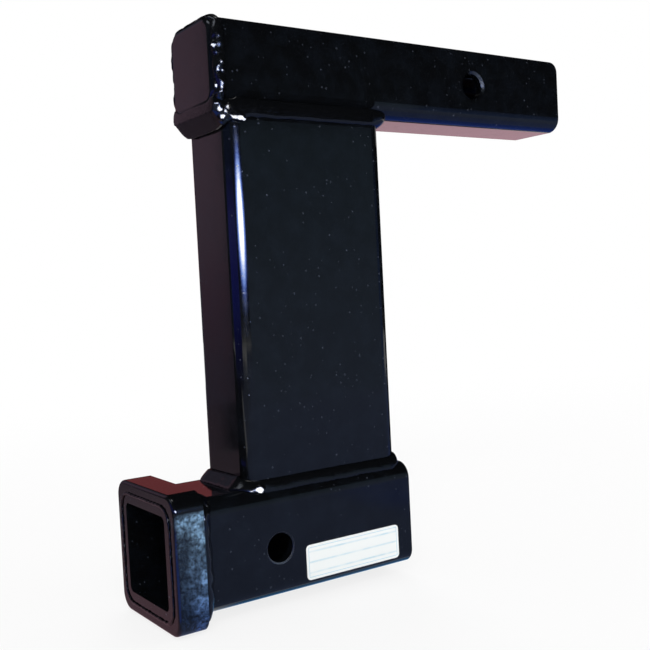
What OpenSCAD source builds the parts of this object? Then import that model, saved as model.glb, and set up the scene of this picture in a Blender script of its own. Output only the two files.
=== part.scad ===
// Drop adapter for a square receiver hitch: a pinned shank, a wide drop tube and a lower
// receiver with a reinforcing collar, welded into one rigid bar.
// Millimetres. The origin is the centre of the shank's pin hole, +X runs to the shank's
// free end, +Y along the pin and +Z up.

/* [Shank] */
// Outside width and height of the square shank
shank_w = 50.8; // [48:0.1:54]
// Wall thickness of the shank
shank_wall = 6.35; // [4:0.05:8]
// Outside corner radius of the shank
shank_r = 9.5; // [8.5:0.5:12]
// Length of the shank from the cap's outer face to the free end
shank_l = 278; // [240:1:400]
// Distance from the free end back to the pin hole
shank_pin_setback = 82; // [60:1:110]
// Thickness of the plate that closes the shank's front end
cap_t = 4.8; // [4.6:0.05:9]
// Rounding round the cap's outer face
cap_edge_r = 4; // [1:0.5:4.5]

/* [Drop tube] */
// Width of the drop tube along the shank
drop_w = 108; // [80:1:140]
// Depth of the drop tube across the shank
drop_d = 50.8; // [48:0.1:52]
// Wall thickness of the drop tube
drop_wall = 6.35; // [4:0.05:7]
// Outside corner radius of the drop tube
drop_r = 8; // [7:0.5:10]
// Drop from the shank's axis down to the receiver's axis
drop = 272; // [150:1:320]
// How far the cap's face stands ahead of the drop tube
cap_overhang = 8; // [7:0.5:20]

/* [Receiver] */
// Outside width and height of the receiver tube
receiver_w = 63.5; // [62:0.1:68]
// Wall thickness of the receiver
receiver_wall = 5.95; // [5:0.05:7]
// Outside corner radius of the receiver
receiver_r = 9.5; // [8:0.5:11]
// How far the mouth stands ahead of the drop tube
mouth_lead = 52; // [40:1:90]
// How far the receiver runs on behind the drop tube
receiver_tail = 3.5; // [3.5:0.5:30]
// Distance from the mouth back to the receiver's pin hole
receiver_pin_setback = 68; // [40:1:80]
// How far the receiver's pin hole lies below its axis
receiver_pin_low = 3; // [0:0.5:5]
// Wall thickness of the collar round the mouth
collar_wall = 6.35; // [4:0.05:8]
// Length of the collar
collar_l = 17.5; // [12:0.5:25]
// Outside corner radius of the collar
collar_r = 10; // [6:0.5:12]
// Rounding of the collar's front edge
collar_edge_r = 2; // [0.5:0.5:3]

/* [Pin holes] */
// Diameter of both pin holes
pin_hole_d = 16.67; // [16:0.01:17]
// Chamfer at the mouths of the shank's pin hole
shank_pin_chamfer = 1.6; // [0.5:0.1:2]
// Chamfer at the mouths of the receiver's pin hole
receiver_pin_chamfer = 0.8; // [0.4:0.1:2]

/* [Welds] */
// Spacing of the ripples along the weld beads
ripple_pitch = 4.4; // [4:0.1:6]
// Height of the ripples on the weld beads
ripple_h = 0.3; // [0.1:0.05:0.5]
// Height of the upper joint's fillet down the drop tube's front
upper_front_leg = 12.5; // [8:0.5:16]
// Height of the upper joint's weld down the drop tube's sides
upper_side_leg = 7.5; // [5:0.5:10]
// Leg of the upper joint's fillet behind the drop tube
upper_rear_leg = 6; // [4:0.5:8]
// Leg of the lower joint's fillet ahead of the drop tube
lower_front_leg = 9; // [6:0.5:12]
// Height of the lower joint's weld up the drop tube's sides
lower_side_leg = 6.5; // [5:0.5:9]
// Height of the lower joint's fillet up the drop tube's rear
lower_rear_leg = 8.5; // [5:0.5:10]
// Reach of the end cap's bead back from the cap's face
cap_bead_reach = 7.7; // [6:0.1:11]
// Length of the collar's fillet along the receiver's sides and bottom
collar_leg = 6.5; // [4:0.5:8]
// Length of the collar's fillet along the receiver's top
collar_top_leg = 13; // [6:0.5:14]
// Width of the bead on the receiver's mouth
mouth_bead_w = 5; // [3:0.5:6]

/* [Label] */
// Length of the blank data label
label_l = 68; // [40:1:75]
// Height of the blank data label
label_h = 20.5; // [15:0.5:30]
// Corner radius of the label
label_r = 2.5; // [1:0.5:5]
// Thickness of the label
label_t = 0.3; // [0.2:0.05:0.6]
// Distance from the label's rear edge to the receiver's rear end
label_inset = 10.8; // [5:0.1:14]
// Distance from the receiver's axis down to the label's middle
label_low = 15.4; // [5:0.1:16]

/* [Hidden] */
$fn = 48;

paint = "#16191e";
weld_paint = "#20242c";
label_white = "#eef2f2";

shank_half = shank_w / 2;
receiver_half = receiver_w / 2;
shank_end_x = shank_pin_setback;
cap_face_x = shank_end_x - shank_l;
shank_seam_x = cap_face_x + cap_t;
drop_front_x = cap_face_x + cap_overhang;
drop_mid_x = drop_front_x + drop_w / 2;
drop_rear_x = drop_front_x + drop_w;
receiver_z = -drop;
drop_top_z = -shank_half;
drop_foot_z = receiver_z + receiver_half;
mouth_x = drop_front_x - mouth_lead;
collar_rear_x = mouth_x + collar_l;
receiver_end_x = drop_rear_x + receiver_tail;
socket_w = receiver_w - 2 * receiver_wall;
collar_w = receiver_w + 2 * collar_wall;

// Overrun of a cut past the face that it opens
cut = 1;
// Depth that a bead's toes and root are carried into the steel before the steel is cut away
bite = 0.8;
root = 1.8;
// Bare strip between a weld's toe and the end of the tube that it lies on
bare_strip = 0.5;
// Share of the receiver's shoulder beside the drop tube that the lower joint's weld covers
shoulder_share = 0.65;
// How far the upper joint's weld spreads sideways at the cap's lower corners, as a factor
corner_spread = 1.15;
// How early the upper joint's weld widens as it turns a corner of the drop tube
corner_ease = 0.7;
// Angle round the cap's rounded edge at which the cap's bead starts
cap_toe_angle = 50;
// Height of each bead's crown over the straight line between its toes, below zero where it is hollow
fillet_crown = 0.9;
hollow_crown = -0.6;
flat_crown = 2;
cap_crown = 2.6;
// Steps across a bead from one toe to the other
crown_steps = [0, 0.17, 0.38, 0.62, 0.83, 1];
// How far the middle of a ripple trails behind its toes
ripple_lag = 1.4;
// Seeds of the small differences from one ripple to the next
upper_seed = 11;
lower_seed = 23;
cap_seed = 37;
collar_seed = 41;
mouth_seed = 53;

// A rectangle with round corners, centred
module rounded_rect(w, d, r) {
    square([w - 2 * r, d], center = true);
    square([w, d - 2 * r], center = true);
    for (sx = [-1, 1], sy = [-1, 1])
        translate([sx * (w / 2 - r), sy * (d / 2 - r)])
            circle(r = r);
}

// Lays what is drawn upright along X, starting at x
module along_x(x, z) {
    translate([x, 0, z])
        rotate([0, 90, 0])
            children();
}

// A solid square bar with round corners along X
module bar_x(w, r, x0, x1, z) {
    along_x(x0, z)
        linear_extrude(x1 - x0)
            rounded_rect(w, w, r);
}

// A square plate along X with round corners, its front edge rounded all the way round
module soft_plate(w, r, t, edge, x, z) {
    run = w - 2 * r;
    along_x(x, z)
        intersection() {
            union() {
                translate([0, 0, edge])
                    linear_extrude(t - edge)
                        rounded_rect(w, w, r);
                linear_extrude(t)
                    rounded_rect(w - 2 * edge, w - 2 * edge, r - edge);
                for (turn = [0 : 90 : 270])
                    rotate([0, 0, turn])
                        translate([w / 2 - edge, 0, edge]) {
                            rotate([90, 0, 0])
                                cylinder(r = edge, h = run, center = true);
                            translate([edge - r, run / 2, 0])
                                rotate_extrude(angle = 90)
                                    translate([r - edge, 0])
                                        circle(r = edge);
                        }
            }
            translate([0, 0, t / 2])
                cube([w + 2 * cut, w + 2 * cut, t], center = true);
        }
}

// A pin hole through both walls along Y, chamfered at its two mouths
module pin_hole(x, z, w, chamfer) {
    translate([x, 0, z]) {
        rotate([90, 0, 0])
            cylinder(d = pin_hole_d, h = w + 2 * cut, center = true);
        for (side = [-1, 1])
            rotate([side * 90, 0, 0])
                translate([0, 0, w / 2 - chamfer])
                    cylinder(d1 = pin_hole_d, d2 = pin_hole_d + 2 * (chamfer + cut), h = chamfer + cut);
    }
}

// Distance round a rounded rectangle
function outline_length(w, d, r) = 2 * (w + d - 4 * r) + 2 * PI * r;

// Place and outward angle at distance s round a rounded rectangle, from its -Y side onwards
function outline_at(w, d, r, s, side = 0) =
    let (
        run = (side % 2 == 0 ? w : d) - 2 * r,
        reach = (side % 2 == 0 ? d : w) / 2,
        turn = PI * r / 2,
        angle = 90 * (side - 1),
        out = [cos(angle), sin(angle)],
        on = [-sin(angle), cos(angle)]
    )
    s < 0 ? outline_at(w, d, r, s + outline_length(w, d, r), side)
    : s <= run ? [reach * out + (s - run / 2) * on, angle]
    : s <= run + turn ?
        let (bend = angle + (s - run) / turn * 90)
        [(reach - r) * out + run / 2 * on + r * [cos(bend), sin(bend)], bend]
    : outline_at(w, d, r, s - run - turn, side + 1);

// Two stations to a ripple, a trough and a crest
function station_count(length) = 2 * round(length / ripple_pitch);

// Rise of the bead at a station: crests and troughs of slightly uneven height
function ripple(i, noise) = (i % 2 == 0 ? 1 : -1) * ripple_h * (1 + 0.5 * noise[floor(i / 2)]);

// Share of the crown's height at step t across the bead
function crown(t) = 4 * t * (1 - t);

// Flat place v in the plan, as a point at height z
function lift(v, z) = [v[0], v[1], z];

// Direction in which a bead bulges between its toes a and b, where out leads away from the work
function bulge(a, b, out) =
    let (across = b - a, level = across * lift(out, 0))
    [out[0] * across[2], out[1] * across[2], -level] / norm([level, across[2]]);

// One ring of a bead. a and b are its toes, out is the level direction away from the work, height
// is its crown's, roots holds the points inside the work, and drift moves each step back along it.
function bead_ring(a, b, out, height, roots, drift) =
    concat([for (t = crown_steps) a + t * (b - a) + crown(t) * (height * bulge(a, b, out) + drift)], roots);

// Triangles that skin n rings of m points, joined end to end or closed by two flat ends
function skin(n, m, closed) = concat(
    [for (i = [0 : n - (closed ? 1 : 2)], j = [0 : m - 1])
        let (k = (i + 1) % n, l = (j + 1) % m)
        each [[i * m + j, i * m + l, k * m + j], [i * m + l, k * m + l, k * m + j]]],
    closed ? [] : [for (j = [1 : m - 2]) [0, j + 1, j]],
    closed ? [] : [for (j = [1 : m - 2]) [(n - 1) * m, (n - 1) * m + j, (n - 1) * m + j + 1]]);

module bead(rings, closed = true) {
    polyhedron(
        points = [for (ring = rings) each ring],
        faces = skin(len(rings), len(rings[0]), closed),
        convexity = 6);
}

// Height of the shank's underside over a place at depth y
function shank_under(y) =
    let (past = min(max(abs(y) - shank_half + shank_r, 0), shank_r))
    -shank_half + shank_r - sqrt(shank_r * shank_r - past * past);

// Height of the receiver's top under a place at depth y
function receiver_over(y) =
    let (past = min(max(abs(y) - receiver_half + receiver_r, 0), receiver_r))
    receiver_z + receiver_half - receiver_r + sqrt(receiver_r * receiver_r - past * past);

// A value that turns smoothly from the front of the drop tube to its sides and its rear
function round_tube(angle, front, side, rear, ease = 2) =
    let (share = pow(abs(cos(angle)), ease))
    share * (cos(angle) < 0 ? front : rear) + (1 - share) * side;

// One ring of the upper joint, where the drop tube's end meets the shank's underside
function upper_ring(s, i, noise) =
    let (
        here = outline_at(drop_w, drop_d, drop_r, s),
        out = [cos(here[1]), sin(here[1])],
        on = [-out[1], out[0]],
        foot = here[0] + [drop_mid_x, 0],
        leg = round_tube(here[1], upper_front_leg, upper_side_leg, upper_rear_leg),
        reach = round_tube(here[1], cap_overhang - bite, -bite, upper_rear_leg, corner_ease),
        rise = ripple(i, noise),
        spread = foot + (reach + rise) * out,
        edge = shank_half - bite,
        high_y = min(max(spread[1] * corner_spread, -edge), edge),
        high_z = bite + round_tube(here[1], drop_top_z, shank_under(high_y), drop_top_z),
        climb = round_tube(here[1], shank_r, bite, shank_r),
        low = lift(foot - bite * out, drop_top_z - leg - rise),
        high = [spread[0], high_y, high_z],
        cover = (lift(foot, drop_top_z) - low) * bulge(low, high, out),
        back = foot - drop_wall * out
    )
    bead_ring(
        low, high, out, fillet_crown + max(cover, 0) + rise,
        [high - lift(bite * out, -climb), lift(back, drop_top_z + root), lift(back, drop_top_z - root)],
        -ripple_lag * lift(on, 0));

// One ring of the lower joint, where the drop tube's foot meets the receiver's top
function lower_ring(s, i, noise) =
    let (
        here = outline_at(drop_w, drop_d, drop_r, s),
        out = [cos(here[1]), sin(here[1])],
        on = [-out[1], out[0]],
        foot = here[0] + [drop_mid_x, 0],
        leg = round_tube(here[1], lower_front_leg, lower_side_leg, lower_rear_leg),
        side_reach = (receiver_w - drop_d) / 2 * shoulder_share,
        reach = round_tube(here[1], lower_front_leg, side_reach, receiver_tail - bare_strip),
        rise = ripple(i, noise),
        toe_rise = round_tube(here[1], rise, rise, 0),
        high = foot - bite * out,
        low = foot + (reach + toe_rise) * out,
        back = foot - drop_wall / 2 * out
    )
    bead_ring(
        lift(low, receiver_over(low[1]) - bite),
        lift(high, drop_foot_z + leg + rise),
        out, round_tube(here[1], hollow_crown, fillet_crown, fillet_crown) + rise,
        [lift(back, drop_foot_z + root), lift(back, drop_foot_z - root)],
        -ripple_lag * lift(on, 0));

module upper_bead() {
    length = outline_length(drop_w, drop_d, drop_r);
    n = station_count(length);
    noise = rands(-1, 1, n, upper_seed);
    bead([for (i = [0 : n - 1]) upper_ring(length * i / n, i, noise)]);
}

module lower_bead() {
    length = outline_length(drop_w, drop_d, drop_r);
    n = station_count(length);
    noise = rands(-1, 1, n, lower_seed);
    bead([for (i = [0 : n - 1]) lower_ring(length * i / n, i, noise)]);
}

// The solid outlines that the beads are cut by
module shank_bar() {
    bar_x(shank_w, shank_r, shank_seam_x, shank_end_x, 0);
}

module drop_block() {
    translate([drop_mid_x, 0, drop_foot_z])
        linear_extrude(drop_top_z - drop_foot_z)
            rounded_rect(drop_w, drop_d, drop_r);
}

module receiver_bar() {
    bar_x(receiver_w, receiver_r, mouth_x, receiver_end_x, receiver_z);
}

module collar_block() {
    soft_plate(collar_w, collar_r, collar_l, collar_edge_r, mouth_x, receiver_z);
}

module cap_plate() {
    soft_plate(shank_w, shank_r, cap_t, cap_edge_r, cap_face_x, 0);
}

module shank_tube() {
    color(paint)
        difference() {
            shank_bar();
            bar_x(shank_w - 2 * shank_wall, shank_r - shank_wall, shank_seam_x - cut, shank_end_x + cut, 0);
            pin_hole(0, 0, shank_w, shank_pin_chamfer);
        }
}

module end_cap() {
    color(paint)
        cap_plate();
}

module drop_tube() {
    color(paint)
        translate([drop_mid_x, 0, drop_foot_z])
            linear_extrude(drop_top_z - drop_foot_z)
                difference() {
                    rounded_rect(drop_w, drop_d, drop_r);
                    rounded_rect(drop_w - 2 * drop_wall, drop_d - 2 * drop_wall, drop_r - drop_wall);
                }
}

module receiver_tube() {
    pin_x = mouth_x + receiver_pin_setback;
    pin_z = receiver_z - receiver_pin_low;
    color(paint)
        difference() {
            receiver_bar();
            bar_x(socket_w, receiver_r - receiver_wall, mouth_x - cut, receiver_end_x + cut, receiver_z);
            pin_hole(pin_x, pin_z, receiver_w, receiver_pin_chamfer);
        }
}

module receiver_collar() {
    color(paint)
        difference() {
            collar_block();
            bar_x(receiver_w, receiver_r, mouth_x - cut, collar_rear_x + cut, receiver_z);
        }
}

module upper_joint_weld() {
    color(weld_paint)
        difference() {
            upper_bead();
            shank_bar();
            cap_plate();
            drop_block();
        }
}

module lower_joint_weld() {
    color(weld_paint)
        difference() {
            lower_bead();
            receiver_bar();
            drop_block();
        }
}

// The bead round the cap runs up one side, over the top and down the other side
module cap_weld() {
    run = shank_w - 2 * shank_r;
    turn = PI * shank_r / 2;
    start = run + turn / 2;
    length = 3 * run + 3 * turn;
    ahead = cap_t - cap_edge_r * (1 - sin(cap_toe_angle)) - bite * sin(cap_toe_angle);
    tuck = cap_edge_r * (1 - cos(cap_toe_angle)) + bite * cos(cap_toe_angle);
    n = station_count(length);
    noise = rands(-1, 1, n, cap_seed);
    color(weld_paint)
        difference() {
            along_x(shank_seam_x, 0)
                rotate([0, 0, 90])
                    bead([for (i = [0 : n])
                        let (
                            here = outline_at(shank_w, shank_w, shank_r, start + length * i / n),
                            out = [cos(here[1]), sin(here[1])],
                            on = [-out[1], out[0]],
                            rise = ripple(i, noise),
                            back = here[0] - 2 * root * out
                        )
                        bead_ring(
                            lift(here[0] - tuck * out, -ahead - rise),
                            lift(here[0] - bite * out, cap_bead_reach - cap_t + rise),
                            out, cap_crown + rise,
                            [lift(back, root), lift(back, -root)],
                            -ripple_lag * lift(on, 0))
                    ], closed = false);
            shank_bar();
            cap_plate();
            upper_bead();
        }
}

module collar_weld() {
    length = outline_length(receiver_w, receiver_w, receiver_r);
    n = station_count(length);
    noise = rands(-1, 1, n, collar_seed);
    color(weld_paint)
        difference() {
            along_x(collar_rear_x, receiver_z)
                bead([for (i = [0 : n - 1])
                    let (
                        here = outline_at(receiver_w, receiver_w, receiver_r, length * i / n),
                        out = [cos(here[1]), sin(here[1])],
                        on = [-out[1], out[0]],
                        rise = ripple(i, noise),
                        top = pow(max(-out[0], 0), 2),
                        leg = collar_leg + top * (collar_top_leg - collar_leg),
                        back = here[0] - root * out
                    )
                    bead_ring(
                        lift(here[0] + (collar_wall - bare_strip) * out, -bite),
                        lift(here[0] - bite * out, leg + rise),
                        out, fillet_crown + top * (hollow_crown - fillet_crown) + rise,
                        [lift(back, root), lift(back, -root)],
                        -ripple_lag * lift(on, 0))
                ]);
            receiver_bar();
            collar_block();
        }
}

module mouth_weld() {
    length = outline_length(receiver_w, receiver_w, receiver_r);
    n = station_count(length);
    noise = rands(-1, 1, n, mouth_seed);
    color(weld_paint)
        difference() {
            along_x(mouth_x, receiver_z)
                bead([for (i = [0 : n - 1])
                    let (
                        here = outline_at(receiver_w, receiver_w, receiver_r, length * i / n),
                        out = [cos(here[1]), sin(here[1])],
                        on = [-out[1], out[0]],
                        rise = ripple(i, noise),
                        half = mouth_bead_w / 2 + rise
                    )
                    bead_ring(
                        lift(here[0] - half * out, bite),
                        lift(here[0] + half * out, bite),
                        out, flat_crown - bite / 2 + rise,
                        [lift(here[0] + root * out, 2 * root), lift(here[0] - root * out, 2 * root)],
                        -ripple_lag * lift(on, 0))
                ]);
            receiver_bar();
            collar_block();
        }
}

module data_label() {
    color(label_white)
        translate([receiver_end_x - label_inset - label_l / 2, -receiver_half, receiver_z - label_low])
            rotate([90, 0, 0])
                linear_extrude(label_t)
                    rounded_rect(label_l, label_h, label_r);
}

shank_tube();
end_cap();
drop_tube();
receiver_tube();
receiver_collar();
cap_weld();
upper_joint_weld();
lower_joint_weld();
collar_weld();
mouth_weld();
data_label();
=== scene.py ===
"""Looks of a welded drop hitch bar: gloss black enamel over steel tubes, on a pale studio floor."""

import math

import bmesh
import bpy
from bpy.props import FloatProperty, FloatVectorProperty, PointerProperty
from mathutils import Euler, Matrix, Vector, noise


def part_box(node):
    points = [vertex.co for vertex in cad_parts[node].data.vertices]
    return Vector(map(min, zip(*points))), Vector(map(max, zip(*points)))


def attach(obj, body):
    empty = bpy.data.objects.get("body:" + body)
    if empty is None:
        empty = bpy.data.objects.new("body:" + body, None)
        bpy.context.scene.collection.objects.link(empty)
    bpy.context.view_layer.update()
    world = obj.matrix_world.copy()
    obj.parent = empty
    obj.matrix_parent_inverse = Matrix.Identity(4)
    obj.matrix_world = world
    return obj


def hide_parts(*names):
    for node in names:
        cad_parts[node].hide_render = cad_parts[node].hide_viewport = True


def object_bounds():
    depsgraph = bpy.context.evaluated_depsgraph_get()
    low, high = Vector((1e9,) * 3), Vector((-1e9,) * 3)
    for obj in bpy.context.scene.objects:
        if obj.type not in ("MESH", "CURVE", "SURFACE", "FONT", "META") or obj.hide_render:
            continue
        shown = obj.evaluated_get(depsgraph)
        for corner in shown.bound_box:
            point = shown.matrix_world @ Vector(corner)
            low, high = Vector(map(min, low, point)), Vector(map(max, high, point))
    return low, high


bl_info = {
    "name": "Drop hitch bar",
    "version": (1, 0, 0),
    "blender": (4, 5, 0),
    "location": "View3D > Sidebar > Drop hitch bar",
    "description": "Finishes, weld beads, label and studio for a drop hitch bar",
    "category": "Object",
}

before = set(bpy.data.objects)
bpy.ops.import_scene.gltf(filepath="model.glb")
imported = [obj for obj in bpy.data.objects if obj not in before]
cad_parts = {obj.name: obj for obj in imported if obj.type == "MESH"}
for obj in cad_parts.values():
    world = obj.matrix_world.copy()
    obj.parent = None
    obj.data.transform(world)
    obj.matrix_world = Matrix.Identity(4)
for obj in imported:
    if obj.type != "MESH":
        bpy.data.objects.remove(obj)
CAD_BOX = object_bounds()

ROOT = "root"
MM = 0.001
TUBES = ("shank_tube", "end_cap", "drop_tube", "receiver_tube")
# How each bead is finished: how far it is spread over the steel beside it, how many times its
# ripples are smoothed, and the height and spacing of its lumps, all lengths in millimetres
WELDS = {
    "cap_weld": (2.2, 36, 1.3, 6.5),
    "upper_joint_weld": (1.2, 80, 0.4, 12.0),
    "lower_joint_weld": (1.2, 80, 0.5, 12.0),
    "collar_weld": (1.2, 30, 0.8, 6.0),
    "mouth_weld": (0.7, 40, 0.15, 8.0),
}
# Distance in millimetres within which the corners of a CAD node's loose triangles are merged
MERGE_DISTANCE = 0.002
# Share of its spread and its lumps that a bead loses where it faces straight up, because it settles
SETTLING = 0.8
# Seed of the beads' lumps, so that every run makes the same beads
LUMP_SEED = 2
# How far one pass of smoothing takes a point towards its neighbours
SMOOTHING = 0.5
# The bead whose front was dressed flat: how far its front is spread, and for each plane it was dressed
# to, a point of it, its facing and how deep the hollows are that it fills, all lengths in millimetres
DRESSED = {
    "upper_joint_weld": (3.0, (
        ((-196.05, 0.0, 0.0), (-1.0, 0.0, 0.0), 1.5), ((-196.1, 0.0, -28.5), (-0.83, 0.0, -0.56), 0.0))),
}
# What counts as a bead's front: an x of the normal below this
FRONT_NORMAL = -0.2
# Share of its distance from a plane that dressing takes from a place
DRESSING = 0.97
# How often the dressed front is smoothed, and the x in millimetres behind which it is
FRONT_PASSES = 12
FRONT_SMOOTHED = -196.0
# A run of weld metal down the drop tube's near front corner: its bead, its middle and half sizes in
# millimetres, and its turn in degrees
RUN = ("upper_joint_weld", (-182.0, -25.2, -31.5), (6.5, 2.6, 3.2), (0, 20, 0))
# Flat dabs at the near front corners, where the molten metal has set smooth: facing, then the middle
# and the radius of each in millimetres
DABS = {
    "cap_weld": (((-0.37, -0.92, -0.13), (
        ((-195.0, -27.0, 7.0), 1.5), ((-191.0, -28.0, -2.0), 0.9), ((-190.0, -27.0, -6.5), 0.9),
        ((-195.0, -25.5, -15.0), 1.6), ((-192.0, -26.0, -24.0), 1.3))),),
    "upper_joint_weld": (
        ((-0.39, -0.92, -0.095), (
            ((-187.0, -26.0, -26.0), 1.5), ((-191.5, -23.5, -27.5), 1.6), ((-190.0, -23.0, -31.5), 1.5))),
        ((-0.24, -0.966, -0.092), (
            ((-184.0, -26.5, -30.5), 2.4), ((-181.0, -26.5, -31.5), 2.0), ((-178.5, -26.5, -32.5), 1.5)))),
    "lower_joint_weld": (((-0.38, -0.89, 0.24), (((-182.0, -29.0, -240.5), 2.2),)),),
}
# What a dab takes in: places as far from its middle as this many times its radius, as far above or
# below it as this in millimetres, and facing its way by more than this
DAB_EDGE = 1.4
DAB_DEPTH = 3.0
DAB_FACING = 0.1
# Pin holes with a pale steel colour on one side of their edge, partly paint rubbed off and partly a painted
# highlight: centre, radius, width of that edge, all in millimetres, the side on which it is palest, how dull
# it is elsewhere, and how much of the pale colour it takes
WORN_AND_LIT_HOLES = (
    ((0.0, 0.0), 8.45, 1.5, (0.75, 0.66), 0.0, 0.45),
    ((-172.0, -275.0), 8.4, 0.9, (-0.3, -0.95), 1.0, 0.9),
)
# Where the wear and its painted highlight start, as a share of the hole's radius towards the pale side
WEAR_AND_LIGHT_START = 0.45


def linear(code):
    """Scene-linear colour of an sRGB hex code such as #1a2b3c."""
    channels = [int(code[i:i + 2], 16) / 255 for i in (1, 3, 5)]
    return tuple(c / 12.92 if c <= 0.04045 else ((c + 0.055) / 1.055) ** 2.4 for c in channels) + (1.0,)


def colour(name, description, code):
    """A colour that the user can change, its default an sRGB hex code."""
    return FloatVectorProperty(
        name=name, description=description, subtype="COLOR", size=4, min=0.0, max=1.0, default=linear(code))


def length(name, description, millimetres):
    """A length that the user can change, its default in millimetres."""
    return FloatProperty(
        name=name, description=description, unit="LENGTH", precision=5, default=millimetres * MM)


class HITCH_PG_paint(bpy.types.PropertyGroup):
    """The black enamel."""
    enamel: colour("Enamel", "Colour of the enamel", "#07080a")
    bloom: colour("Bloom", "Colour of the enamel where it has bloomed a little", "#0b0e13")
    dust: colour("Dust", "Colour of the dust specks on the enamel", "#363b45")
    # Pale steel on one side of each pin hole's edge: partly paint rubbed off, partly a painted highlight
    # where the edge catches the light
    bare_and_lit: colour("Bare edge", "Colour of the steel where an edge has lost its paint", "#3a434f")
    roughness: FloatProperty(name="Roughness", description="Roughness of the clean enamel", default=0.08)
    peel: length("Orange peel", "Spacing of the waves in the sprayed film", 2.6)
    peel_depth: length("Peel depth", "Depth of the waves in the sprayed film", 0.006)
    haze: length("Haze", "Spacing of the places where the enamel has bloomed", 13.0)
    bead_depth: length("Bead depth", "Depth of the grain in the enamel over a weld bead", 0.05)
    speck: length("Speck spacing", "Spacing of the cells in which dust specks lie", 3.0)
    speck_size: length("Speck size", "Radius of the largest dust speck", 0.8)
    scale: length("Mill scale", "Grain of the pitted steel under the collar's paint", 1.9)
    scale_depth: length("Scale depth", "Depth of the pits in the collar's steel", 0.4)
    # These two blues are a painted reflection: a pale-blue sheen painted into the collar's colour, bluer low
    # down and paler high up
    painted_sheen_pale: colour("Scale tint", "Colour high on the pitted collar, where the enamel is thin", "#9ac6ee")
    painted_sheen_blue: colour("Scale blue", "Colour low on the pitted collar, where the enamel is thin", "#3c60b0")


class HITCH_PG_weld(bpy.types.PropertyGroup):
    """The weld beads under the paint."""
    cell: length("Cell", "Size of the cells in which a bead's mesh is made", 0.65)
    grain: length("Grain", "Spacing of the fine grain in a bead", 2.1)
    grain_height: length("Grain height", "Height of the fine grain in a bead", 0.04)


class HITCH_PG_label(bpy.types.PropertyGroup):
    """The blank label."""
    film: colour("Film", "Colour of the label's film", "#f7fbfa")
    rule: colour("Rules", "Colour of the faint printed rules", "#b9dbe9")
    rule_pitch: length("Rule pitch", "Spacing of the faint printed rules", 3.1)
    rule_width: length("Rule width", "Width of a faint printed rule", 0.5)
    margin: length("Margin", "Distance from the label's edge to its printed border", 1.6)


class HITCH_PG_stage(bpy.types.PropertyGroup):
    """The floor, the lights and the camera."""
    floor: colour("Floor", "Colour of the floor", "#f2f2f2")
    floor_size: length("Floor size", "Width of the floor", 12000.0)
    floor_gap: length("Floor gap", "How far the floor lies under the lowest part of the bar", 0.8)
    shadow_start: length("Shadow start", "Distance at which the floor's shadow starts to fade", 200.0)
    shadow_end: length("Shadow end", "Distance at which the floor's shadow has faded", 1200.0)
    near_white: FloatProperty(
        name="Near white", description="Share of plain white on the floor close to the bar", default=0.82)
    fill: FloatProperty(name="Fill", description="Strength of the even light from all round", default=0.55)
    place: FloatVectorProperty(
        name="Camera", description="Place of the camera", subtype="TRANSLATION", unit="LENGTH",
        default=(-0.44302, -0.48241, -0.12826))
    yaw: FloatProperty(
        name="Yaw", description="Turn of the view from +Y towards +X", subtype="ANGLE", default=0.60114)
    pitch: FloatProperty(
        name="Pitch", description="Tilt of the view above the horizon", subtype="ANGLE", default=-0.04075)
    roll: FloatProperty(
        name="Roll", description="Roll of the camera", subtype="ANGLE", default=-0.05121)
    focal: FloatProperty(
        name="Focal length", description="Focal length in picture widths", default=1.43627)


class HITCH_PG_all(bpy.types.PropertyGroup):
    """All the sizes and colours of the hitch bar's looks."""
    paint: PointerProperty(type=HITCH_PG_paint)
    weld: PointerProperty(type=HITCH_PG_weld)
    label: PointerProperty(type=HITCH_PG_label)
    stage: PointerProperty(type=HITCH_PG_stage)


def add(tree, kind, inputs=None, **attributes):
    """Adds a shader node with its attributes, and with its inputs set to values or linked to sockets.
    Inputs are named, or numbered from nought: a MapRange node has the value, the least and the most
    that come in, and what these two become."""
    node = tree.nodes.new("ShaderNode" + kind)
    for key, value in attributes.items():
        setattr(node, key, value)
    for key, value in (inputs or {}).items():
        if isinstance(value, bpy.types.NodeSocket):
            tree.links.new(value, node.inputs[key])
        else:
            node.inputs[key].default_value = value
    return node


def new_tree(name):
    """A new material and its empty node tree."""
    material = bpy.data.materials.new(name)
    material.use_nodes = True
    material.node_tree.nodes.clear()
    return material, material.node_tree


def mixed(tree, share, first, second):
    """The colour between two colours."""
    return add(tree, "Mix", {0: share, 6: first, 7: second}, data_type="RGBA").outputs[2]


def specks(tree, place, paint):
    """How much dust lies at a place: nought between the specks."""
    cells = add(tree, "TexVoronoi", {"Vector": place, "Scale": 1 / paint.speck})
    chance = add(tree, "SeparateColor", {0: cells.outputs["Color"]})
    largest = paint.speck_size / paint.speck
    size = add(tree, "MapRange", {0: chance.outputs[0], 1: 0.5, 2: 1.0, 3: 0.0, 4: largest})
    inside = add(tree, "Math", {0: size.outputs[0], 1: cells.outputs["Distance"]}, operation="SUBTRACT")
    soft = add(tree, "MapRange", {0: inside.outputs[0], 1: 0.0, 2: largest / 3, 3: 0.0, 4: 1.0})
    return add(tree, "Math", {0: soft.outputs[0], 1: chance.outputs[1]}, operation="MULTIPLY").outputs[0]


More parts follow.
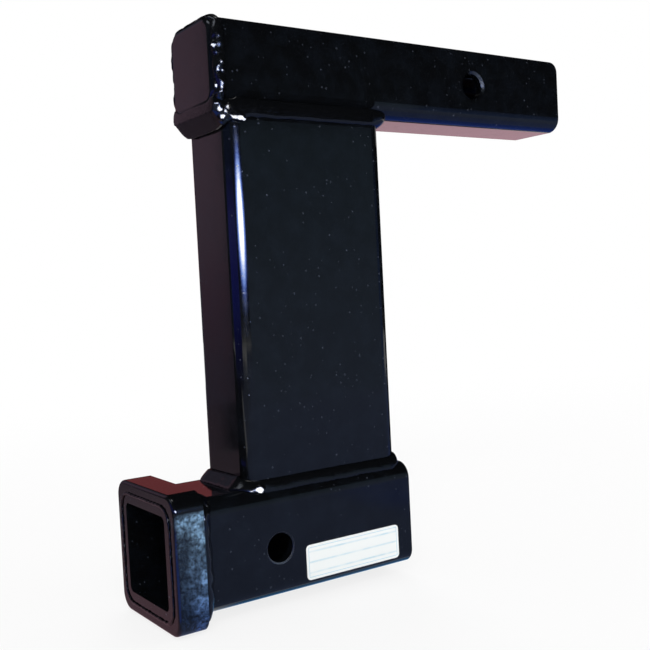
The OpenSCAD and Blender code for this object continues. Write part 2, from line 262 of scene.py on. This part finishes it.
def worn_and_lit_rim(tree, place, centre, radius, width, side, dulled, bared_and_lit):
    """How dull and how pale a place on the edge of a pin hole is: both most on one side of the hole, where
    its pale steel colour is partly wear and partly a painted highlight.
    """
    shift = (-centre[0] * MM, 0.0, -centre[1] * MM)
    moved = add(tree, "Mapping", {"Vector": place, "Location": shift}).outputs[0]
    flat = add(tree, "VectorMath", {0: moved, 1: (1.0, 0.0, 1.0)}, operation="MULTIPLY").outputs[0]
    away = add(tree, "VectorMath", {0: flat}, operation="LENGTH").outputs["Value"]
    middle = (radius + width / 2) * MM
    band = add(tree, "Math", {0: away, 1: middle, 2: width / 2 * MM}, operation="COMPARE").outputs[0]
    worn_and_lit_side = (side[0], 0.0, side[1])
    along = add(tree, "VectorMath", {0: flat, 1: worn_and_lit_side}, operation="DOT_PRODUCT").outputs["Value"]
    start = WEAR_AND_LIGHT_START * radius * MM
    shares = []
    for least, most in ((dulled, 1.0), (0.0, bared_and_lit)):
        wear = add(tree, "MapRange", {0: along, 1: start, 2: radius * MM, 3: least, 4: most})
        shares.append(add(tree, "Math", {0: band, 1: wear.outputs[0]}, operation="MULTIPLY").outputs[0])
    return shares


def enamel(name, paint):
    """Black enamel, sprayed and air dried: a deep gloss with slow waves, a faint bloom and a few dust specks,
    and on one side of the edge of each pin hole a pale steel colour, partly where a pin has rubbed the paint
    off and partly a painted highlight."""
    material, tree = new_tree(name)
    place = add(tree, "TexCoord").outputs["Object"]
    dusty = specks(tree, place, paint)
    waves = add(tree, "TexNoise", {"Vector": place, "Scale": 1 / paint.peel, "Detail": 2.0})
    haze = add(tree, "TexNoise", {"Vector": place, "Scale": 1 / paint.haze, "Detail": 5.0, "Roughness": 0.6})
    cloudy = add(tree, "MapRange", {0: haze.outputs[0], 1: 0.42, 2: 0.68}).outputs[0]
    dull = add(tree, "MapRange", {0: cloudy, 3: paint.roughness * 0.8, 4: paint.roughness * 1.5})
    edge = 0.0
    worn_and_lit = 0.0
    # Pale steel on the pin holes' edges, partly wear and partly a painted highlight
    for hole in WORN_AND_LIT_HOLES:
        dull_edge, bare_and_lit = worn_and_lit_rim(tree, place, *hole)
        edge = add(tree, "Math", {0: dull_edge, 1: edge}, operation="MAXIMUM").outputs[0]
        worn_and_lit = add(tree, "Math", {0: bare_and_lit, 1: worn_and_lit}, operation="MAXIMUM").outputs[0]
    rough = add(tree, "Math", {0: dusty, 1: 0.3, 2: dull.outputs[0]}, operation="MULTIPLY_ADD")
    rough = add(tree, "Math", {0: edge, 1: 0.4, 2: rough.outputs[0]}, operation="MULTIPLY_ADD")
    relief = add(tree, "Bump", {"Height": waves.outputs[0], "Distance": paint.peel_depth, "Strength": 1.0})
    black = mixed(tree, cloudy, tuple(paint.enamel), tuple(paint.bloom))
    dirty = mixed(tree, dusty, black, tuple(paint.dust))
    surface = add(tree, "BsdfPrincipled", {
        "Base Color": mixed(tree, worn_and_lit, dirty, tuple(paint.bare_and_lit)),
        "Roughness": rough.outputs[0], "IOR": 1.5, "Normal": relief.outputs[0]})
    add(tree, "OutputMaterial", {"Surface": surface.outputs[0]})
    return material


def pitted_enamel(name, paint):
    """The same enamel over pitted hot-rolled steel, with a painted reflection: in patches its colour is a
    pale-blue sheen, paler towards the top and the rear, and its pits glint. The sawn front face of the collar
    and its upper edge are smoother and darker."""
    material, tree = new_tree(name)
    place = add(tree, "TexCoord").outputs["Object"]
    axes = add(tree, "SeparateXYZ", {0: place})
    depth = axes.outputs[0]
    height = axes.outputs[2]
    low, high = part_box("receiver_collar")
    # Pairs of places between which the sawn face gives way to the pits, the painted sheen grows towards the
    # rear and then the top, and the clean upper edge starts, and the height at which the painted sheen is
    # palest
    sawn_ends = (low.x + 0.5 * MM, low.x + 2.5 * MM)
    rear_ends = (low.x + 6 * MM, high.x - 4 * MM)
    top_ends = (high.z - 24 * MM, high.z - 14 * MM)
    clean_ends = (high.z - 12 * MM, high.z - 9 * MM)
    palest = high.z - 25 * MM
    pit_scale = 1 / paint.scale
    fleck_scale = 0.8 / paint.scale
    patch_scale = 0.22 / paint.scale
    sawn = add(tree, "MapRange", {0: depth, 1: sawn_ends[0], 2: sawn_ends[1], 3: 0.04, 4: 1.0})
    pits = add(tree, "TexNoise", {"Vector": place, "Scale": pit_scale, "Detail": 3.0, "Roughness": 0.6})
    grain = add(tree, "TexNoise", {"Vector": place, "Scale": fleck_scale, "Detail": 4.0, "Roughness": 0.7})
    areas = add(tree, "TexNoise", {"Vector": place, "Scale": patch_scale, "Detail": 2.0})
    patch = add(tree, "MapRange", {0: areas.outputs[0], 1: 0.4, 2: 0.54, 3: 0.3, 4: 1.0})
    higher = add(tree, "MapRange", {0: height, 1: low.z, 2: palest})
    behind = add(tree, "MapRange", {0: depth, 1: rear_ends[0], 2: rear_ends[1], 3: 0.15, 4: 1.0})
    top = add(tree, "MapRange", {0: height, 1: top_ends[0], 2: top_ends[1], 3: 0.0, 4: 0.8})
    rear = add(tree, "Math", {0: behind.outputs[0], 1: top.outputs[0]}, operation="MAXIMUM")
    under = add(tree, "MapRange", {0: height, 1: clean_ends[0], 2: clean_ends[1], 3: 1.0, 4: 0.0})
    pitted = add(tree, "Math", {0: sawn.outputs[0], 1: under.outputs[0]}, operation="MULTIPLY").outputs[0]
    flecks = add(tree, "MapRange", {0: grain.outputs[0], 1: 0.4, 2: 0.68, 3: 0.1, 4: 1.0})
    # Where the painted pale-blue reflection lies: in patches and flecks on the pits, more towards the rear
    # and the top
    sheened = pitted
    for share in (patch.outputs[0], rear.outputs["Value"], flecks.outputs[0]):
        sheened = add(tree, "Math", {0: sheened, 1: share}, operation="MULTIPLY").outputs[0]
    # The painted reflection's colour, bluer low down and paler higher up
    sheen = mixed(tree, higher.outputs[0], tuple(paint.painted_sheen_blue), tuple(paint.painted_sheen_pale))
    relief = add(tree, "Bump", {"Height": pits.outputs[0], "Distance": paint.scale_depth, "Strength": pitted})
    surface = add(tree, "BsdfPrincipled", {
        "Base Color": mixed(tree, sheened, tuple(paint.enamel), sheen),
        "Roughness": 0.13, "IOR": 1.5, "Normal": relief.outputs[0]})
    add(tree, "OutputMaterial", {"Surface": surface.outputs[0]})
    return material


def weld_enamel(name, paint):
    """Enamel over weld metal: thick and glossy on the ripples, so that each crest catches the light."""
    material, tree = new_tree(name)
    place = add(tree, "TexCoord").outputs["Object"]
    grain_scale = 1.5 / paint.peel
    grain = add(tree, "TexNoise", {"Vector": place, "Scale": grain_scale, "Detail": 3.0})
    relief = add(tree, "Bump", {"Height": grain.outputs[0], "Distance": paint.bead_depth, "Strength": 1.0})
    dull = add(tree, "MapRange", {0: grain.outputs[0], 1: 0.35, 2: 0.7, 3: 0.1, 4: 0.22})
    surface = add(tree, "BsdfPrincipled", {
        "Base Color": tuple(paint.enamel), "Roughness": dull.outputs[0], "IOR": 1.5,
        "Normal": relief.outputs[0]})
    add(tree, "OutputMaterial", {"Surface": surface.outputs[0]})
    return material


def label_film(name, label):
    """White vinyl film with faint printed rules and a narrow border, and no words."""
    material, tree = new_tree(name)
    low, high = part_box("data_label")
    middle = (low + high) / 2
    half = (high - low) / 2
    place = add(tree, "TexCoord").outputs["Object"]
    centred = add(tree, "Mapping", {"Vector": place, "Location": -middle})
    axes = add(tree, "SeparateXYZ", {0: centred.outputs[0]})
    reach = []
    for axis, size in ((0, half.x), (2, half.z)):
        away = add(tree, "Math", {0: axes.outputs[axis]}, operation="ABSOLUTE")
        reach.append(add(tree, "Math", {0: size, 1: away.outputs[0]}, operation="SUBTRACT").outputs[0])
    edge = add(tree, "Math", {0: reach[0], 1: reach[1]}, operation="MINIMUM").outputs[0]
    border_half = label.rule_width / 3
    border = add(tree, "Math", {0: edge, 1: label.margin, 2: border_half}, operation="COMPARE").outputs[0]
    inside = add(tree, "Math", {0: edge, 1: label.margin}, operation="GREATER_THAN").outputs[0]
    wave = add(tree, "Math", {0: axes.outputs[2], 1: label.rule_pitch}, operation="PINGPONG").outputs[0]
    rule = add(tree, "Math", {0: wave, 1: label.rule_width}, operation="LESS_THAN").outputs[0]
    fade_scale = 0.3 / label.rule_pitch
    break_up = add(tree, "TexNoise", {"Vector": place, "Scale": fade_scale, "Detail": 2.0})
    printed = add(tree, "MapRange", {0: break_up.outputs[0], 1: 0.35, 2: 0.65, 3: 0.2, 4: 0.7}).outputs[0]
    ruled = add(tree, "Math", {0: rule, 1: inside}, operation="MULTIPLY").outputs[0]
    faint = add(tree, "Math", {0: ruled, 1: printed}, operation="MULTIPLY").outputs[0]
    ink = add(tree, "Math", {0: faint, 1: border}, operation="MAXIMUM").outputs[0]
    surface = add(tree, "BsdfPrincipled", {
        "Base Color": mixed(tree, ink, tuple(label.film), tuple(label.rule)), "Roughness": 0.35, "IOR": 1.5})
    add(tree, "OutputMaterial", {"Surface": surface.outputs[0]})
    return material


def finish_nodes(names, material):
    """Gives CAD nodes a material in place of their plain ones."""
    for name in names:
        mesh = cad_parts[name].data
        mesh.materials.clear()
        mesh.materials.append(material)


def piece_from(mesh, name, material):
    """Makes a piece of a mesh that is in its place, rides it on the bar and gives it its finish."""
    piece = bpy.data.objects.new(name, mesh)
    bpy.context.scene.collection.objects.link(piece)
    mesh.materials.append(material)
    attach(piece, ROOT)
    return piece


def turn_matrix(angles):
    """The matrix of a turn about the three axes, in degrees."""
    return Euler([math.radians(angle) for angle in angles]).to_matrix().to_4x4()


def settled(normal):
    """How much of its height a bead keeps where it faces this way: it settles where it faces up."""
    return 1 - SETTLING * max(normal.z, 0.0)


def merged_copy(node, spread):
    """A copy of a CAD node's mesh with its loose triangles merged and its faces moved outwards, and with
    the run of weld metal where it belongs to this bead."""
    bm = bmesh.new()
    bm.from_mesh(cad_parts[node].data)
    bmesh.ops.remove_doubles(bm, verts=bm.verts, dist=MERGE_DISTANCE * MM)
    bm.normal_update()
    moves = []
    for vert in bm.verts:
        if node in DRESSED and vert.normal.x < FRONT_NORMAL:
            moves.append(vert.normal * (DRESSED[node][0] * MM))
        else:
            moves.append(vert.normal * (spread * settled(vert.normal)))
    for vert, move in zip(bm.verts, moves):
        vert.co += move
    if node == RUN[0]:
        middle, half_sizes, turn = RUN[1:]
        size = Matrix.Diagonal(Vector(half_sizes) * MM).to_4x4()
        place = Matrix.Translation(Vector(middle) * MM) @ turn_matrix(turn) @ size
        bmesh.ops.create_icosphere(bm, subdivisions=3, radius=1.0, matrix=place)
    mesh = bpy.data.meshes.new(node + "_merged")
    bm.to_mesh(mesh)
    bm.free()
    return mesh


def remeshed(mesh, cell):
    """The mesh made again of small even faces, which rounds its hard edges over."""
    helper = bpy.data.objects.new("remesh_helper", mesh)
    bpy.context.scene.collection.objects.link(helper)
    modifier = helper.modifiers.new("cells", "REMESH")
    modifier.mode = "VOXEL"
    modifier.voxel_size = cell
    modifier.use_smooth_shade = True
    result = bpy.data.meshes.new_from_object(helper.evaluated_get(bpy.context.evaluated_depsgraph_get()))
    bpy.data.objects.remove(helper)
    bpy.data.meshes.remove(mesh)
    return result


def flatten_front(bm, planes):
    """Dresses the front of a bead down to its planes, and fills the hollows under them."""
    for point, facing, hollow in planes:
        facing = Vector(facing).normalized()
        for vert in bm.verts:
            beyond = (vert.co - Vector(point) * MM).dot(facing)
            if vert.normal.x < FRONT_NORMAL and beyond > -hollow * MM:
                vert.co -= facing * beyond * DRESSING


def dab(bm, facing, middle, radius):
    """Sets the bead flat round one place, at the height of its highest point there."""
    facing = Vector(facing).normalized()
    flat = radius * MM
    edge = DAB_EDGE * flat
    near = []
    for vert in bm.verts:
        offset = vert.co - Vector(middle) * MM
        height = offset.dot(facing)
        away = (offset - facing * height).length
        if away < edge and abs(height) < DAB_DEPTH * MM and vert.normal.dot(facing) > DAB_FACING:
            near.append((vert, height, away))
    top = max((height for vert, height, away in near if away < flat), default=0.0)
    for vert, height, away in near:
        share = min((edge - away) / (edge - flat), 1.0)
        vert.co += facing * (top - height) * share


def smooth(bm, verts, passes):
    """Moves places of a bead towards their neighbours, pass after pass."""
    for step in range(passes):
        bmesh.ops.smooth_vert(
            bm, verts=verts, factor=SMOOTHING, use_axis_x=True, use_axis_y=True, use_axis_z=True)


def dress(mesh, node, weld, passes, lump_height, lump_spacing):
    """Smooths a bead's ripples, moves its surface out and in by lumps and fine grain, and dresses its
    front and sets its dabs where it has them."""
    bm = bmesh.new()
    bm.from_mesh(mesh)
    smooth(bm, bm.verts, passes)
    bm.normal_update()
    moves = []
    for vert in bm.verts:
        lumps = noise.noise_vector(vert.co / (lump_spacing * MM)) * lump_height * MM
        grains = noise.noise(vert.co / weld.grain) * weld.grain_height
        moves.append(lumps * settled(vert.normal) + vert.normal * grains)
    for vert, move in zip(bm.verts, moves):
        vert.co += move
    bm.normal_update()
    if node in DRESSED:
        flatten_front(bm, DRESSED[node][1])
        smoothed_x = FRONT_SMOOTHED * MM
        front = [vert for vert in bm.verts if vert.normal.x < FRONT_NORMAL and vert.co.x > smoothed_x]
        smooth(bm, front, FRONT_PASSES)
        bm.normal_update()
    for facing, places in DABS.get(node, ()):
        for middle, radius in places:
            dab(bm, facing, middle, radius)
    bm.normal_update()
    for face in bm.faces:
        face.smooth = True
    bm.to_mesh(mesh)
    bm.free()


class HITCH_OT_tubes(bpy.types.Operator):
    """Sprays the tubes and the end cap with black enamel"""
    bl_idname = "hitch.tubes"
    bl_label = "Paint the tubes"

    def execute(self, context):
        finish_nodes(TUBES, enamel("black_enamel", context.scene.hitch.paint))
        return {"FINISHED"}


class HITCH_OT_collar(bpy.types.Operator):
    """Sprays the pitted collar with black enamel and its painted pale-blue reflection"""
    bl_idname = "hitch.collar"
    bl_label = "Paint the collar"

    def execute(self, context):
        finish_nodes(["receiver_collar"], pitted_enamel("enamel_with_painted_sheen", context.scene.hitch.paint))
        return {"FINISHED"}


class HITCH_OT_welds(bpy.types.Operator):
    """Makes each weld bead again with the lumps and grain of set weld metal"""
    bl_idname = "hitch.welds"
    bl_label = "Form the weld beads"

    def execute(self, context):
        settings = context.scene.hitch
        material = weld_enamel("enamel_over_weld", settings.paint)
        noise.seed_set(LUMP_SEED)
        for node, (spread, *finish) in WELDS.items():
            mesh = remeshed(merged_copy(node, spread * MM), settings.weld.cell)
            mesh.name = node + "_bead"
            mesh.materials.clear()
            dress(mesh, node, settings.weld, *finish)
            bead = piece_from(mesh, node + "_bead", material)
            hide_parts(node)
        return {"FINISHED"}


class HITCH_OT_label(bpy.types.Operator):
    """Gives the label its white film and faint rules"""
    bl_idname = "hitch.label"
    bl_label = "Print the label"

    def execute(self, context):
        finish_nodes(["data_label"], label_film("printed_vinyl_film", context.scene.hitch.label))
        return {"FINISHED"}


# Reflecting cards of the studio, seen only in the gloss: name, middle, size, turn about the three
# axes in degrees, strength, share that fades out towards their sides and their ends, and colours. A
# round card has one fade and its colours run from its middle to its rim, another's from foot to head.
# The two flags are small dark cards close to the bar.
CARDS = (
    ("right_card", (0.85, -0.86, 0.195), (1.5, 1.41), (90, 0, 0), 1.0, (0.02, 0.05),
     ((0.0, "#8190b3"), (0.27, "#73849c"), (0.45, "#5d7283"), (0.475, "#272e34"), (0.55, "#171a1e"),
      (1.0, "#08090b"))),
    ("shank_card", (1.15, -0.855, 0.195), (1.02, 1.41), (90, 0, 0), 1.0, (0.05, 0.05),
     ((0.0, "#5d7bb2"), (0.3, "#4a6296"), (0.42, "#34466e"), (0.485, "#171c26"), (0.55, "#14171b"),
      (1.0, "#08090b"))),
    ("shank_flag", (-0.134, -0.0325, -0.023), (0.112, 0.016), (90, 0, 0), 1.0, (0.02, 0.02),
     ((0.0, "#08090b"), (1.0, "#08090b"))),
    ("drop_flag", (-0.07, -0.003, -0.14), (0.045, 0.2), (90, 0, 90), 1.0, (0.02, 0.02),
     ((0.0, "#101216"), (1.0, "#101216"))),
    ("bead_card", (-0.31, 0.862, 0.045), (0.3, 1.11), (90, 0, 0), 1.0, (0.1, 0.1),
     ((0.0, "#5b596b"), (1.0, "#5b596b"))),
    ("back_left_card", (-0.565, 0.86, 0.045), (0.23, 1.11), (90, 0, 0), 1.0, (0.1, 0.1),
     ((0.0, "#5c5060"), (0.22, "#695a6d"), (0.33, "#7e6177"), (0.436, "#90788c"), (0.6, "#9c7f93"),
      (1.0, "#80687a"))),
    ("left_card", (-1.15, -0.06, -0.005), (1.42, 0.61), (90, 0, 90), 1.0, (0.15, 0.1),
     ((0.0, "#202030"), (0.066, "#303050"), (0.28, "#3038e0"), (0.475, "#6060f4"), (0.64, "#304070"),
      (1.0, "#101830"))),
    ("back_card", (0.6, 1.25, 0.06), (1.7, 0.36), (90, 0, 0), 1.0, (0.1, 0.1),
     ((0.0, "#954b4e"), (1.0, "#954b4e"))),
    ("front_floor_card", (0.3, -0.4995, -0.3105), (1.9, 0.941), (0, 0, 0), 1.0, (0.02, 0.003),
     ((0.0, "#8190b3"), (1.0, "#707fa6"))),
    ("far_floor_card", (0.3, -1.7, -0.3106), (2.6, 1.6), (0, 0, 0), 1.0, (0.1, 0.1),
     ((0.0, "#606c88"), (1.0, "#8190b3"))),
    ("near_floor_card", (-1.0, -0.9, -0.3105), (1.3, 1.2), (0, 0, 0), 1.0, (0.1, 0.1),
     ((0.0, "#646c80"), (1.0, "#7c84a0"))),
    ("left_shade_card", (-1.2, 1.15, -0.3104), (1.56, 2.9), (0, 0, 0), 1.0, (0.03, 0.1),
     ((0.0, "#2c2c34"), (1.0, "#202028"))),
    ("left_floor_card", (-0.32, 0.766, -0.3103), (0.5, 0.68), (0, 0, 28.3), 1.0, (0.05, 0.04),
     ((0.0, "#6c5c68"), (1.0, "#665767"))),
    ("mouth_floor_card", (-0.368, 0.21, -0.3102), (0.264, 0.51), (0, 0, 0), 1.0, (0.02, 0.06),
     ((0.0, "#a07a86"), (0.62, "#84707c"), (0.8, "#6e5f6a"), (1.0, "#6c5c68"))),
    ("corner_floor_card", (-0.35, -0.125, -0.3103), (0.2, 0.155), (0, 0, 0), 3.0, (0.1, 0.1),
     ((0.0, "#3e5cc0"), (1.0, "#3e5cc0"))),
    ("collar_floor_card", (-0.162, -0.19, -0.3103), (0.042, 0.31), (0, 0, 25.7), 1.5, (0.3, 0.1),
     ((0.0, "#5a80b0"), (0.4, "#89aeff"), (0.7, "#5274b0"), (1.0, "#304060"))),
    ("glint_floor_card", (-0.141, -0.2175, -0.3102), (0.012, 0.12), (0, 0, 25.7), 8.0, (0.5, 0.5),
     ((0.0, "#a8cce8"), (1.0, "#a8cce8"))),
    ("rim_floor_card", (-0.12, 0.003, -0.3104), (0.2, 0.064), (0, 0, 0), 1.3, (0.3, 0.01),
     ((0.0, "#4c84b8"), (1.0, "#4c84b8"))),
    ("blue_floor_card", (0.5, 0.05, -0.3105), (1.0, 0.7), (0, 0, 0), 0.7, (0.1, 0.1),
     ((0.0, "#4e74f0"), (1.0, "#4e74f0"))),
    ("shade_floor_card", (0.25, 0.83, -0.3105), (1.1, 0.9), (0, 0, 0), 1.0, (0.1, 0.1),
     ((0.0, "#30282c"), (1.0, "#30282c"))),
    ("pink_floor_card", (1.5, 1.5, -0.3103), (1.4, 1.2), (0, 0, 0), 1.0, (0.15, 0.15),
     ((0.0, "#ebbdca"), (1.0, "#ebbdca"))),
    ("strip_card", (-0.311, -0.782, -0.031), (1.27, 0.28), (90, 0, -16.8), 34.0, (0.3,),
     ((0.0, "#ffffff"), (0.36, "#ffffff"), (0.44, "#b6c0da"), (0.55, "#6484c8"), (0.7, "#303e78"),
      (0.82, "#080d24"), (1.0, "#010208"))),
    ("overhead_card", (-0.1, 0.0, 1.6), (0.9, 0.6), (0, 0, 0), 3.0, (0.5, 0.5),
     ((0.0, "#ffffff"), (1.0, "#ffffff"))),
    ("high_left_card", (-1.3, 0.2, 1.3), (1.2, 0.8), (90, 0, 90), 2.0, (0.5, 0.5),
     ((0.0, "#e8f0ff"), (1.0, "#e8f0ff"))),
)
# Lamps of the studio: name, place and power in watts. They are square and all of one width.
LAMPS = (
    ("key_lamp", (-0.9, -1.3, 0.9), 15.0),
    ("fill_lamp", (1.4, -1.0, 0.5), 7.0),
    ("back_lamp", (0.6, 1.5, 0.8), 12.0),
)
LAMP_WIDTH = 1.0
# The dark dome round the studio: its radius, and the two places in x between which it grows darker
DOME_RADIUS = 3.0
DOME_LIGHTER = -2.5
DOME_DARKER = -0.5
# The camera's film width in millimetres and the distance in metres from which it sees
FILM_WIDTH = 36.0
NEAREST_SEEN = 0.01


def card_material(name, strength, fades, stops):
    """A lit card with soft edges, its colour changing from foot to head or from middle to rim."""
    material, tree = new_tree(name)
    place = add(tree, "TexCoord").outputs["UV"]
    centred = add(tree, "Mapping", {"Vector": place, "Location": (-1.0, -1.0, 0.0), "Scale": (2.0, 2.0, 1.0)})
    axes = add(tree, "SeparateXYZ", {0: centred.outputs[0]})
    if len(fades) == 1:
        reaches = [add(tree, "VectorMath", {0: centred.outputs[0]}, operation="LENGTH").outputs["Value"]]
        share = reaches[0]
    else:
        reaches = [add(tree, "Math", {0: axes.outputs[i]}, operation="ABSOLUTE").outputs[0] for i in range(2)]
        share = add(tree, "MapRange", {0: axes.outputs[1], 1: -1.0, 2: 1.0}).outputs[0]
    mask = 1.0
    for reach, fade in zip(reaches, fades):
        edge = add(tree, "MapRange", {"Value": reach, 1: 1 - fade, 2: 1.0, 3: 1.0, 4: 0.0},
                   interpolation_type="SMOOTHSTEP")
        mask = add(tree, "Math", {0: edge.outputs[0], 1: mask}, operation="MULTIPLY").outputs[0]
    ramp = add(tree, "ValToRGB", {0: share})
    for stop, code in stops[1:-1]:
        ramp.color_ramp.elements.new(stop).color = linear(code)
    ramp.color_ramp.elements[0].color = linear(stops[0][1])
    ramp.color_ramp.elements[-1].color = linear(stops[-1][1])
    light = add(tree, "Emission", {"Color": ramp.outputs[0], "Strength": strength})
    both = add(tree, "MixShader", {0: mask, 1: add(tree, "BsdfTransparent").outputs[0], 2: light.outputs[0]})
    add(tree, "OutputMaterial", {"Surface": both.outputs[0]})
    return material


def flat_sheet(name, place, size):
    """A flat rectangle of the given size, turned and moved by a matrix, as an object of the stage."""
    bm = bmesh.new()
    bm.loops.layers.uv.new("UVMap")
    bmesh.ops.create_grid(bm, x_segments=1, y_segments=1, size=0.5, calc_uvs=True)
    bmesh.ops.scale(bm, verts=bm.verts, vec=(size[0], size[1], 1.0))
    bmesh.ops.transform(bm, verts=bm.verts, matrix=place)
    mesh = bpy.data.meshes.new(name)
    bm.to_mesh(mesh)
    bm.free()
    sheet = bpy.data.objects.new(name, mesh)
    bpy.context.scene.collection.objects.link(sheet)
    return sheet


def dome_material(name):
    """The dark studio round the bar: nearly black, a little lighter towards the left."""
    material, tree = new_tree(name)
    axes = add(tree, "SeparateXYZ", {0: add(tree, "TexCoord").outputs["Object"]})
    side = add(tree, "MapRange", {0: axes.outputs[0], 1: DOME_LIGHTER, 2: DOME_DARKER, 3: 1.0, 4: 0.0})
    tone = mixed(tree, side.outputs[0], linear("#0c0d10"), linear("#3c4048"))
    light = add(tree, "Emission", {"Color": tone, "Strength": 1.0})
    add(tree, "OutputMaterial", {"Surface": light.outputs[0]})
    return material


def only_in_gloss(item):
    """Lets a stage object show in reflections alone, so that it neither lights nor hides anything."""
    item.visible_camera = False
    item.visible_diffuse = False
    item.visible_transmission = False
    item.visible_volume_scatter = False
    item.visible_shadow = False


class HITCH_OT_stage(bpy.types.Operator):
    """Sets the floor, the cards, the lamps, the world and the camera"""
    bl_idname = "hitch.stage"
    bl_label = "Set the stage"

    def execute(self, context):
        stage = context.scene.hitch.stage
        self.set_floor(stage)
        self.set_cards()
        self.set_lamps()
        self.set_world(context.scene, stage)
        self.set_camera(context.scene, stage)
        context.scene.view_settings.view_transform = "Standard"
        return {"FINISHED"}

    def set_floor(self, stage):
        place = Matrix.Translation((0.0, 0.0, CAD_BOX[0].z - stage.floor_gap))
        floor = flat_sheet("floor", place, (stage.floor_size, stage.floor_size))
        material, tree = new_tree("pale_floor")
        path = add(tree, "LightPath")
        seen = add(tree, "Math", {0: path.outputs["Is Camera Ray"], 1: path.outputs["Is Glossy Ray"]},
                   operation="MAXIMUM")
        axes = add(tree, "SeparateXYZ", {0: add(tree, "TexCoord").outputs["Object"]})
        level = add(tree, "CombineXYZ", {0: axes.outputs[0], 1: axes.outputs[1]})
        away = add(tree, "VectorMath", {0: level.outputs[0]}, operation="LENGTH").outputs["Value"]
        clear = add(
            tree, "MapRange",
            {"Value": away, 1: stage.shadow_start, 2: stage.shadow_end, 3: stage.near_white, 4: 1.0},
            interpolation_type="SMOOTHSTEP")
        share = add(tree, "Math", {0: seen.outputs[0], 1: clear.outputs[0]}, operation="MULTIPLY")
        paper = add(tree, "BsdfDiffuse", {"Color": tuple(stage.floor)})
        white = add(tree, "Emission", {"Color": (1.0, 1.0, 1.0, 1.0), "Strength": 1.0})
        both = add(tree, "MixShader", {0: share.outputs[0], 1: paper.outputs[0], 2: white.outputs[0]})
        add(tree, "OutputMaterial", {"Surface": both.outputs[0]})
        floor.data.materials.append(material)

    def set_cards(self):
        for name, middle, size, turn, *finish in CARDS:
            card = flat_sheet(name, Matrix.Translation(middle) @ turn_matrix(turn), size)
            card.data.materials.append(card_material(name, *finish))
            only_in_gloss(card)
        bm = bmesh.new()
        bmesh.ops.create_icosphere(bm, subdivisions=3, radius=DOME_RADIUS)
        mesh = bpy.data.meshes.new("dome")
        bm.to_mesh(mesh)
        bm.free()
        dome = bpy.data.objects.new("dome", mesh)
        bpy.context.scene.collection.objects.link(dome)
        mesh.materials.append(dome_material("dark_studio"))
        only_in_gloss(dome)

    def set_lamps(self):
        aim = (CAD_BOX[0] + CAD_BOX[1]) / 2
        for name, place, power in LAMPS:
            data = bpy.data.lights.new(name, "AREA")
            data.size = LAMP_WIDTH
            data.energy = power
            lamp = bpy.data.objects.new(name, data)
            bpy.context.scene.collection.objects.link(lamp)
            lamp.location = place
            lamp.rotation_euler = (aim - Vector(place)).to_track_quat("-Z", "Y").to_euler()
            lamp.visible_glossy = False

    def set_world(self, scene, stage):
        world = bpy.data.worlds.new("studio")
        scene.world = world
        world.use_nodes = True
        tree = world.node_tree
        tree.nodes.clear()
        path = add(tree, "LightPath")
        seen = add(tree, "Math", {0: path.outputs["Is Camera Ray"], 1: path.outputs["Is Glossy Ray"]},
                   operation="MAXIMUM")
        seen = add(tree, "Math", {0: seen.outputs[0], 1: path.outputs["Is Transmission Ray"]},
                   operation="MAXIMUM")
        even = add(tree, "Background", {"Color": (1.0, 1.0, 1.0, 1.0), "Strength": stage.fill})
        white = add(tree, "Background", {"Color": (1.0, 1.0, 1.0, 1.0), "Strength": 1.0})
        both = add(tree, "MixShader", {0: seen.outputs[0], 1: even.outputs[0], 2: white.outputs[0]})
        add(tree, "OutputWorld", {"Surface": both.outputs[0]})

    def set_camera(self, scene, stage):
        level_reach = math.cos(stage.pitch)
        ahead = Vector((
            math.sin(stage.yaw) * level_reach, math.cos(stage.yaw) * level_reach, math.sin(stage.pitch)))
        level = Vector((math.cos(stage.yaw), -math.sin(stage.yaw), 0.0))
        above = level.cross(ahead)
        right = math.cos(stage.roll) * level + math.sin(stage.roll) * above
        up = math.cos(stage.roll) * above - math.sin(stage.roll) * level
        data = bpy.data.cameras.new("camera")
        data.sensor_width = FILM_WIDTH
        data.lens = stage.focal * FILM_WIDTH
        data.clip_start = NEAREST_SEEN
        camera = bpy.data.objects.new("camera", data)
        scene.collection.objects.link(camera)
        turn = Matrix((right, up, -ahead)).transposed().to_4x4()
        camera.matrix_world = Matrix.Translation(stage.place) @ turn
        scene.camera = camera


class HITCH_PT_panel(bpy.types.Panel):
    """Lists the sizes, colours and steps of the hitch bar's looks"""
    bl_label = "Drop hitch bar"
    bl_idname = "HITCH_PT_panel"
    bl_space_type = "VIEW_3D"
    bl_region_type = "UI"
    bl_category = "Drop hitch bar"

    def draw(self, context):
        settings = context.scene.hitch
        for group in (settings.paint, settings.weld, settings.label, settings.stage):
            box = self.layout.box()
            for key in group.__annotations__:
                box.prop(group, key)
        for operator in OPERATORS:
            self.layout.operator(operator.bl_idname)


GROUPS = (HITCH_PG_paint, HITCH_PG_weld, HITCH_PG_label, HITCH_PG_stage, HITCH_PG_all)
OPERATORS = (HITCH_OT_tubes, HITCH_OT_collar, HITCH_OT_welds, HITCH_OT_label, HITCH_OT_stage)


def register():
    """Registers the classes and hangs the settings on the scene."""
    for cls in GROUPS + OPERATORS + (HITCH_PT_panel,):
        bpy.utils.register_class(cls)
    bpy.types.Scene.hitch = PointerProperty(type=HITCH_PG_all)


def unregister():
    """Takes the settings and the classes away again."""
    del bpy.types.Scene.hitch
    for cls in reversed(GROUPS + OPERATORS + (HITCH_PT_panel,)):
        bpy.utils.unregister_class(cls)


def main():
    """Makes the whole scene."""
    register()
    bpy.ops.hitch.tubes()
    bpy.ops.hitch.collar()
    bpy.ops.hitch.welds()
    bpy.ops.hitch.label()
    bpy.ops.hitch.stage()


if __name__ == "__main__":
    main()
